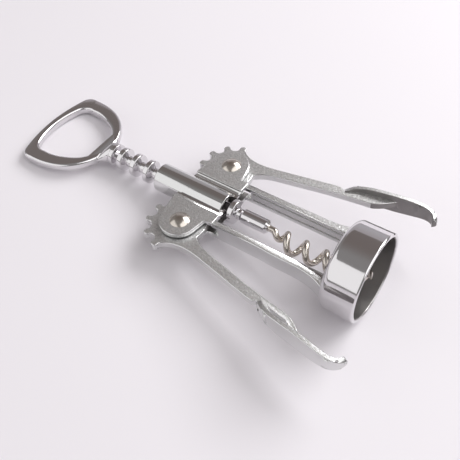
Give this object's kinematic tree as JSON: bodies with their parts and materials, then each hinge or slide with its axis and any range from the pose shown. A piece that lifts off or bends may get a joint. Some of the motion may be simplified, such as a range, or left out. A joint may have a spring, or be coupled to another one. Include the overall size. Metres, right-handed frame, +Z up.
{
  "type": "wing corkscrew",
  "caption": "Wing corkscrew: a bell on two rails, geared levers on a ring-toothed shaft, wire worm, and an opener ring as turning handle.",
  "frame": {"origin": "on the table under the middle of the tool as it lies, bell and opener ring both resting", "axes": "+X toward the bell, +Z up, +Y toward the right lever"},
  "size_m": [0.1802, 0.085, 0.0394],
  "materials": {
    "polished_chrome": "polished plating on zinc casting",
    "satin_chrome": "satin plating on zinc casting",
    "nickel_steel": "warm nickel plating on steel"
  },
  "bodies": {
    "frame": {"gear_case": "satin_chrome", "rail_left": "satin_chrome", "rail_right": "satin_chrome", "bell": "polished_chrome", "rivet_left": "nickel_steel", "rivet_right": "nickel_steel"},
    "shaft": {"rack_shaft": "polished_chrome"},
    "handle": {"opener_handle": "polished_chrome", "ferrule": "nickel_steel", "worm": "nickel_steel"},
    "left_lever": {"lever_left": "satin_chrome"},
    "right_lever": {"lever_right": "satin_chrome"}
  },
  "joints": [
    {"name": "shaft_slide", "type": "slide", "parent": "frame", "child": "shaft", "axis": [0.9943, 0, 0.107], "range_m": [-0.003, 0.025]},
    {"name": "handle_turn", "type": "hinge", "parent": "shaft", "child": "handle", "pos_m": [-0.01759, 0, 0.00965], "axis": [0.9943, 0, 0.107], "continuous": true},
    {"name": "left_swing", "type": "hinge", "parent": "frame", "child": "left_lever", "pos_m": [0.00229, -0.0188, 0.01179], "axis": [0.107, 0, -0.9943], "range_deg": [-12, 99.6]},
    {"name": "right_swing", "type": "hinge", "parent": "frame", "child": "right_lever", "pos_m": [0.00229, 0.0188, 0.01179], "axis": [-0.107, 0, 0.9943], "range_deg": [-12, 99.6]}
  ],
  "couplings": [
    {"joint": "left_swing", "follows": "shaft_slide", "rad_per_m": 69.444},
    {"joint": "right_swing", "follows": "shaft_slide", "rad_per_m": 69.444}
  ]
}
